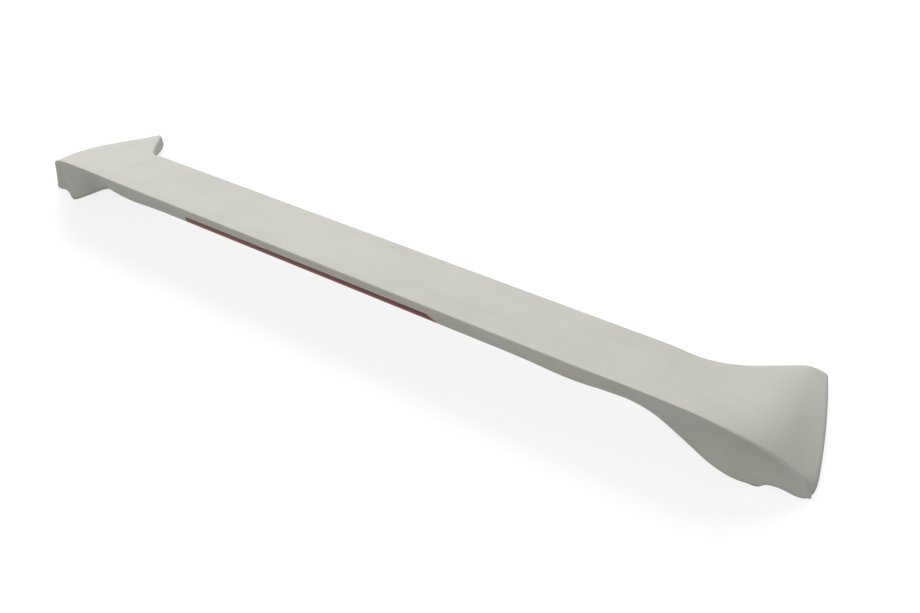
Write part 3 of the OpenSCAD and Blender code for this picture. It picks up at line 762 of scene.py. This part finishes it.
class SPOILER_OT_foot_bases(bpy.types.Operator):
    """Makes the smooth bases of both feet with their bosses and holes"""
    bl_idname = "spoiler.foot_bases"
    bl_label = "Foot Bases"

    def execute(self, context):
        f = Form(context.scene.spoiler_shape)
        # Painted shade: the feet's bases get a copy of the primer 3% darker than the upper shell
        material = primer_material(context.scene.spoiler_finish, "primer_foot_painted_shade", 0.97)
        holes = [(m["pos_m"][:2], HOLE_R, BELOW, HOLE_TOP)
                 for m in frame["record"]["mounts"] if m["kind"] == "threaded_hole"]
        low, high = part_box("cable_grommet")
        lead = ((low[0] + high[0]) / 2, (low[1] + high[1]) / 2)
        for side, name in ((-1, "left"), (1, "right")):
            end = side * f.joint_x * MM
            solids = [box_faces((min(end, -side), -1, -1), (max(end, -side), 1, 1)),
                      prism_faces(pad_ring(f, side, f.bond), 2, BELOW, PAD_T)]
            own = [h for h in holes if h[0][0] * side > 0]
            solids += [cylinder_faces(*h) for h in own]
            if side < 0:
                solids.append(cylinder_faces(lead, HOLE_R, BELOW, LEAD_TOP))
            piece = underside("foot_skin_" + name, solids)
            finish_piece(piece, material, "primer_under", "foot_base_" + name)
            for i, h in enumerate(own):
                boss = make_piece(f"boss_{name}_{i}",
                                  *cylinder_faces(h[0], BOSS_R, BOSS_LOW, BOSS_TOP))
                cut(boss, [cylinder_faces(*h)])
                finish_piece(boss, material, "primer_under")
        return {"FINISHED"}


class SPOILER_OT_lamp(bpy.types.Operator):
    """Finishes the lens and the other pieces of the lamp"""
    bl_idname = "spoiler.lamp"
    bl_label = "Brake Lamp"

    def execute(self, context):
        c = context.scene.spoiler_finish
        dress("lens", lens_material(c))
        dress("lamp_housing", moulded_material("housing_plastic", c.housing))
        dress("lens_seal", moulded_material("seal_foam", (0.03, 0.03, 0.03), 0.9, 1500.0, 0.4))
        dress("circuit_board", moulded_material("board_lacquer", (0.02, 0.14, 0.05), 0.35))
        dress("leds", moulded_material("lamp_epoxy", (0.75, 0.7, 0.62), 0.3))
        dress("resistors", moulded_material("resistor_body", (0.04, 0.04, 0.045), 0.5))
        return {"FINISHED"}


class SPOILER_OT_fixings(bpy.types.Operator):
    """Finishes the inserts, screws, pads and grommet"""
    bl_idname = "spoiler.fixings"
    bl_label = "Fixings"

    def execute(self, context):
        dress("lamp_screws", metal_material("zinc_plate", (0.62, 0.62, 0.6), 0.35))
        dress("threaded_inserts", metal_material("brass", (0.72, 0.5, 0.22), 0.32))
        dress("foot_pads", moulded_material("pad_foam", (0.045, 0.045, 0.05), 0.95, 1200.0, 0.5))
        dress("cable_grommet", moulded_material("grommet_rubber", (0.025, 0.025, 0.027), 0.7))
        return {"FINISHED"}


def area_light(name, place, target, width, watts, tint=(1.0, 1.0, 1.0)):
    """A square lamp at a place, turned to a target."""
    data = bpy.data.lights.new(name, "AREA")
    data.size = width
    data.energy = watts
    data.color = tint
    lamp = bpy.data.objects.new(name, data)
    way = np.subtract(target, place)
    back = -way / np.linalg.norm(way)
    side = np.cross((0.0, 0.0, 1.0), back)
    side = side / np.linalg.norm(side) if np.linalg.norm(side) > 1e-6 else np.array((1.0, 0, 0))
    up = np.cross(back, side)
    turn = Matrix(np.column_stack((side, up, back)).tolist()).to_4x4()
    lamp.matrix_world = Matrix.Translation(place) @ turn
    bpy.context.scene.collection.objects.link(lamp)


class SPOILER_OT_stage(bpy.types.Operator):
    """Sets the floor, the studio light and the camera"""
    bl_idname = "spoiler.stage"
    bl_label = "Stage"

    def execute(self, context):
        scene = context.scene
        floor = make_piece("floor", *box_faces((-6.0, -6.0, -0.02), (6.0, 6.0, 0.0)))
        t = Tree("paper")
        seen = t.seen()
        t.surface(Base_Color=t.mix(seen, (0.33, 0.33, 0.32, 1), (0.24, 0.24, 0.24, 1)),
                  Roughness=0.9, Specular_IOR_Level=0.0, Emission_Strength=1.0,
                  Emission_Color=t.mix(seen, (0, 0, 0, 1), (0.83, 0.83, 0.83, 1)))
        floor.data.materials.append(t.material)
        world = bpy.data.worlds.new("studio")
        around = Tree("studio", world)
        around.surface(Strength=1.0, Color=around.mix(around.seen(), (0.24, 0.24, 0.24, 1),
                                                      (1, 1, 1, 1)))
        scene.world = world
        area_light("key", (-1.3, 2.2, 4.2), (0, 0, 0.05), 2.4, 178.0)
        area_light("fill", (0.9, -2.6, 1.7), (0.3, 0, 0.05), 1.2, 24.0)
        set_camera(scene)
        scene.view_settings.view_transform = "Standard"
        return {"FINISHED"}


def set_camera(scene):
    """Camera at the picture's place: azimuth, height angle and a slight roll."""
    azimuth, height, roll = (math.radians(a) for a in (37.8, 40.8, 5.5))
    place = (0.7031, -0.7477, 0.8231)
    focal_px = 994.5
    back = np.array((math.sin(azimuth) * math.cos(height), -math.cos(azimuth) * math.cos(height),
                     math.sin(height)))
    right = np.cross(-back, (0, 0, 1.0))
    right /= np.linalg.norm(right)
    down = np.cross(-back, right)
    across = right * math.cos(roll) + down * math.sin(roll)
    up = right * math.sin(roll) - down * math.cos(roll)
    data = bpy.data.cameras.new("camera")
    data.sensor_width = 36.0
    data.sensor_fit = "HORIZONTAL"
    data.lens = focal_px / IMAGE_W * data.sensor_width
    data.clip_start = 0.01
    camera = bpy.data.objects.new("camera", data)
    turn = Matrix(np.column_stack((across, up, back)).tolist()).to_4x4()
    camera.matrix_world = Matrix.Translation(place) @ turn
    scene.collection.objects.link(camera)
    scene.camera = camera


class SPOILER_PT_panel(bpy.types.Panel):
    """Lists the spoiler's sizes, colours and operators"""
    bl_idname = "SPOILER_PT_panel"
    bl_label = "Spoiler"
    bl_space_type = "VIEW_3D"
    bl_region_type = "UI"
    bl_category = "Spoiler"

    def draw(self, context):
        for group in (context.scene.spoiler_shape, context.scene.spoiler_finish):
            for name in type(group).__annotations__:
                self.layout.prop(group, name)
        for operator in OPERATORS:
            self.layout.operator(operator.bl_idname)


OPERATORS = (SPOILER_OT_upper_shell, SPOILER_OT_lower_shell, SPOILER_OT_foot_bases,
             SPOILER_OT_lamp, SPOILER_OT_fixings, SPOILER_OT_stage)
CLASSES = (SpoilerShape, SpoilerFinish) + OPERATORS + (SPOILER_PT_panel,)


def register():
    for c in CLASSES:
        bpy.utils.register_class(c)
    bpy.types.Scene.spoiler_shape = bpy.props.PointerProperty(type=SpoilerShape)
    bpy.types.Scene.spoiler_finish = bpy.props.PointerProperty(type=SpoilerFinish)


def unregister():
    del bpy.types.Scene.spoiler_finish
    del bpy.types.Scene.spoiler_shape
    for c in reversed(CLASSES):
        bpy.utils.unregister_class(c)


def main():
    """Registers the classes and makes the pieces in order."""
    register()
    bpy.ops.spoiler.upper_shell()
    bpy.ops.spoiler.lower_shell()
    bpy.ops.spoiler.foot_bases()
    bpy.ops.spoiler.lamp()
    bpy.ops.spoiler.fixings()
    bpy.ops.spoiler.stage()


if __name__ == "__main__":
    main()
